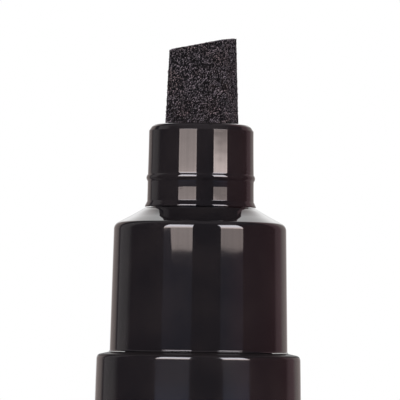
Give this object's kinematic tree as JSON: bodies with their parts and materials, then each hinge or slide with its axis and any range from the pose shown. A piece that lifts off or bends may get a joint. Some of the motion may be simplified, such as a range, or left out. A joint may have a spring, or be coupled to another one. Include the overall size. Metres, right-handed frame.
{
  "type": "paint marker",
  "caption": "Refillable black paint marker with a slanted felt chisel nib on a stepped head that unscrews from a paint barrel; pressing the nib opens a spring valve.",
  "frame": {"origin": "centre of the tail's flat end, on which the marker stands", "axes": "+Z along the marker from its tail to its nib; -Y towards the viewer of the picture, so the nib's wide face looks mostly to -Y and its high corner is on +X"},
  "size_m": [0.0242, 0.0242, 0.1419],
  "materials": {
    "black_gloss": "polished moulded black plastic",
    "nib_felt": "dense charcoal felt",
    "seal_rubber": "soft black rubber",
    "valve_plastic": "pale natural plastic",
    "spring_steel": "bright drawn wire",
    "ball_steel": "ground steel ball"
  },
  "bodies": {
    "barrel_body": {"barrel": "black_gloss", "tail_plug": "black_gloss", "tail_plug_seal": "seal_rubber"},
    "gasket_body": {"head_gasket": "seal_rubber"},
    "head_body": {"front_housing": "black_gloss", "nib_collar": "black_gloss", "valve_body": "valve_plastic", "spring_retainer": "valve_plastic", "valve_spring": "spring_steel"},
    "plunger_body": {"valve_stem": "valve_plastic", "valve_seal": "seal_rubber"},
    "nib_body": {"nib": "nib_felt"},
    "ball_body_1": {"mixing_ball_1": "ball_steel"},
    "ball_body_2": {"mixing_ball_2": "ball_steel"}
  },
  "joints": [
    {"name": "head_rise", "type": "slide", "parent": "barrel_body", "child": "gasket_body", "axis": [0, 0, 1], "range_m": [0, 0.006]},
    {"name": "head_unscrew", "type": "hinge", "parent": "gasket_body", "child": "head_body", "pos_m": [0, 0, 0.105], "axis": [0, 0, 1], "range_deg": [0, 720]},
    {"name": "valve_press", "type": "slide", "parent": "head_body", "child": "plunger_body", "axis": [0, 0, 1], "range_m": [-0.003, 0], "stiffness_N_per_m": 400, "springref_m": 0.003, "deforming": ["valve_spring"]},
    {"name": "nib_pull", "type": "slide", "parent": "plunger_body", "child": "nib_body", "axis": [0, 0, 1], "range_m": [0, 0.02]},
    {"name": "ball_1_rattle", "type": "slide", "parent": "barrel_body", "child": "ball_body_1", "axis": [0, 0, 1], "range_m": [0, 0.083]},
    {"name": "ball_2_rattle", "type": "slide", "parent": "barrel_body", "child": "ball_body_2", "axis": [0, 0, 1], "range_m": [0, 0.083]}
  ],
  "couplings": [
    {"joint": "head_rise", "follows": "head_unscrew", "m_per_rad": 0.00047746}
  ]
}
